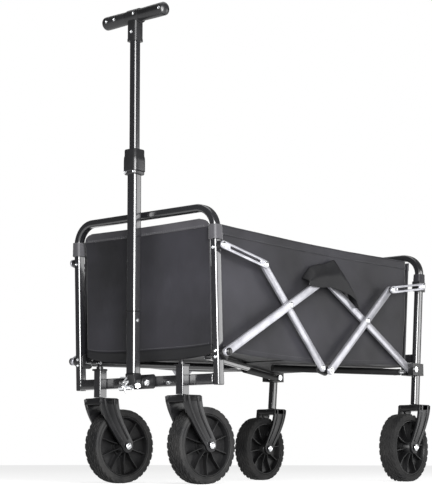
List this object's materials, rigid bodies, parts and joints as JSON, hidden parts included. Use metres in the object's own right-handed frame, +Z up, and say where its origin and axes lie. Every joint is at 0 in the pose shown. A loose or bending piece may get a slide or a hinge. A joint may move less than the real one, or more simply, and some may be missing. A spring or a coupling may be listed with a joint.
{
  "type": "folding camp wagon",
  "caption": "Folding pull-along camp wagon with a fabric tub, scissor-bar sides, swivel and fixed wheels and a telescoping handle.",
  "frame": {"origin": "on the ground, under the middle of the wagon's length and width", "axes": "+X towards the rear, +Y towards the right side, +Z up; the pull handle is at -X"},
  "size_m": [0.8592, 0.524, 1.049],
  "materials": {
    "black_frame": "satin black powder coat",
    "grey_bars": "satin silver-grey coat",
    "bright_steel": "zinc plated",
    "black_plastic": "moulded, lightly grained",
    "black_cloth": "coated woven polyester",
    "grey_trim": "woven binding tape",
    "tyre_rubber": "soft matt foam rubber"
  },
  "bodies": {
    "front_frame": {"front_frame": "black_frame", "front_crossbar": "black_frame", "caster_legs": "black_frame", "caster_caps": "black_plastic", "brackets_front": "black_plastic", "clips_front": "black_plastic", "rivets_front": "bright_steel", "bag_front": "black_cloth", "sleeves_front": "grey_trim", "handle_bracket": "black_plastic", "handle_pin": "bright_steel", "bag_side_left": "black_cloth", "bag_side_right": "black_cloth", "bag_floor_middle": "black_cloth"},
    "bars_b": {"bar_b_left": "grey_bars", "bar_b_right": "grey_bars", "rivets_b": "bright_steel"},
    "bars_a": {"bar_a_left": "grey_bars", "bar_a_right": "grey_bars", "rivets_a": "bright_steel"},
    "bars_c": {"bar_c_left": "grey_bars", "bar_c_right": "grey_bars", "rivets_c": "bright_steel"},
    "bars_d": {"bar_d_left": "grey_bars", "bar_d_right": "grey_bars", "rivets_d": "bright_steel"},
    "centre_hubs": {"hub_plates": "black_plastic"},
    "flaps": {"joint_flaps": "black_cloth"},
    "links_front": {"links_front": "bright_steel"},
    "links_rear": {"links_rear": "bright_steel"},
    "rear_frame": {"rear_frame": "black_frame", "brackets_rear": "black_plastic", "clips_rear": "black_plastic", "rivets_rear": "bright_steel", "bag_rear": "black_cloth", "sleeves_rear": "grey_trim", "forks_rear": "black_plastic", "axles_rear": "bright_steel"},
    "floor_front": {"floor_frame_front": "black_frame", "bag_floor_front": "black_cloth"},
    "floor_rear": {"floor_frame_rear": "black_frame", "bag_floor_rear": "black_cloth"},
    "caster_left": {"fork_front_left": "black_plastic", "axle_front_left": "bright_steel"},
    "caster_right": {"fork_front_right": "black_plastic", "axle_front_right": "bright_steel"},
    "wheel_front_left": {"tyre_front_left": "tyre_rubber", "wheel_hub_front_left": "black_plastic"},
    "wheel_front_right": {"tyre_front_right": "tyre_rubber", "wheel_hub_front_right": "black_plastic"},
    "wheel_rear_left": {"tyre_rear_left": "tyre_rubber", "wheel_hub_rear_left": "black_plastic"},
    "wheel_rear_right": {"tyre_rear_right": "tyre_rubber", "wheel_hub_rear_right": "black_plastic"},
    "handle": {"handle_foot": "black_plastic", "handle_tube_outer": "black_frame", "handle_collar": "black_plastic"},
    "handle_button": {"handle_button": "bright_steel"},
    "handle_inner": {"handle_tube_inner": "black_frame", "handle_grip": "black_plastic"}
  },
  "joints": [
    {"name": "fold", "type": "hinge", "parent": "front_frame", "child": "bars_b", "pos_m": [-0.36668, 0, 0.276], "axis": [0, -1, 0], "range_deg": [0, 51], "deforming": ["bag_side_left", "bag_side_right", "bag_floor_middle"]},
    {"name": "bar_c_turn", "type": "hinge", "parent": "bars_b", "child": "bars_c", "pos_m": [0.00061, 0, 0.469], "axis": [0, -1, 0], "range_deg": [-102.5, 0]},
    {"name": "bar_a_turn", "type": "hinge", "parent": "bars_b", "child": "bars_a", "pos_m": [-0.14321, 0, 0.39343], "axis": [0, -1, 0], "range_deg": [-96.12, 0]},
    {"name": "bar_d_turn", "type": "hinge", "parent": "bars_c", "child": "bars_d", "pos_m": [0.16615, 0, 0.38202], "axis": [0, -1, 0], "range_deg": [0, 83.22]},
    {"name": "rear_frame_turn", "type": "hinge", "parent": "bars_c", "child": "rear_frame", "pos_m": [0.36791, 0, 0.276], "axis": [0, -1, 0], "range_deg": [0, 51.5]},
    {"name": "hub_turn", "type": "hinge", "parent": "bars_a", "child": "centre_hubs", "pos_m": [-0.00768, 0, 0.261], "axis": [0, -1, 0], "range_deg": [-25.64, 0]},
    {"name": "flap_turn", "type": "hinge", "parent": "bars_b", "child": "flaps", "pos_m": [0.00061, 0, 0.469], "axis": [0, -1, 0], "range_deg": [-51.5, 0]},
    {"name": "link_front_turn", "type": "hinge", "parent": "bars_a", "child": "links_front", "pos_m": [-0.22668, 0, 0.475], "axis": [0, -1, 0], "range_deg": [0, 124.12]},
    {"name": "link_rear_turn", "type": "hinge", "parent": "bars_d", "child": "links_rear", "pos_m": [0.26732, 0, 0.465], "axis": [0, -1, 0], "range_deg": [-113.21, 0]},
    {"name": "floor_front_lift", "type": "hinge", "parent": "front_frame", "child": "floor_front", "pos_m": [-0.35269, 0, 0.27], "axis": [0, -1, 0], "range_deg": [0, 88.22]},
    {"name": "floor_rear_lift", "type": "hinge", "parent": "rear_frame", "child": "floor_rear", "pos_m": [0.35391, 0, 0.27], "axis": [0, -1, 0], "range_deg": [-88.22, 0]},
    {"name": "swivel_front_left", "type": "hinge", "parent": "front_frame", "child": "caster_left", "pos_m": [-0.38771, -0.1205, 0.2], "axis": [0, 0, 1], "continuous": true},
    {"name": "spin_front_left", "type": "hinge", "parent": "caster_left", "child": "wheel_front_left", "pos_m": [-0.33311, -0.1272, 0.0825], "axis": [0.1219, 0.9925, 0], "continuous": true},
    {"name": "swivel_front_right", "type": "hinge", "parent": "front_frame", "child": "caster_right", "pos_m": [-0.38771, 0.1205, 0.2], "axis": [0, 0, 1], "continuous": true},
    {"name": "spin_front_right", "type": "hinge", "parent": "caster_right", "child": "wheel_front_right", "pos_m": [-0.33338, 0.1119, 0.0825], "axis": [0.1564, 0.9877, 0], "continuous": true},
    {"name": "spin_rear_left", "type": "hinge", "parent": "rear_frame", "child": "wheel_rear_left", "pos_m": [0.3267, -0.222, 0.0825], "axis": [0, 1, 0], "continuous": true},
    {"name": "spin_rear_right", "type": "hinge", "parent": "rear_frame", "child": "wheel_rear_right", "pos_m": [0.3267, 0.222, 0.0825], "axis": [0, 1, 0], "continuous": true},
    {"name": "handle_tilt", "type": "hinge", "parent": "front_frame", "child": "handle", "pos_m": [-0.41069, 0, 0.216], "axis": [0, -1, 0], "range_deg": [0, 100]},
    {"name": "handle_telescope", "type": "slide", "parent": "handle", "child": "handle_inner", "axis": [0, 0, 1], "range_m": [-0.245, 0]},
    {"name": "handle_button_press", "type": "slide", "parent": "handle", "child": "handle_button", "axis": [0, 1, 0], "range_m": [0, 0.0015], "stiffness_N_per_m": 400}
  ],
  "couplings": [
    {"joint": "bar_c_turn", "follows": "fold", "ratio": -2},
    {"joint": "bar_a_turn", "follows": "fold", "ratio": -1.875},
    {"joint": "bar_d_turn", "follows": "fold", "ratio": 1.622},
    {"joint": "rear_frame_turn", "follows": "fold", "ratio": 1},
    {"joint": "hub_turn", "follows": "fold", "ratio": -0.493},
    {"joint": "flap_turn", "follows": "fold", "ratio": -1},
    {"joint": "link_front_turn", "follows": "fold", "ratio": 2.424},
    {"joint": "link_rear_turn", "follows": "fold", "ratio": -2.21},
    {"joint": "floor_front_lift", "follows": "fold", "ratio": 1.72},
    {"joint": "floor_rear_lift", "follows": "fold", "ratio": -1.72}
  ]
}
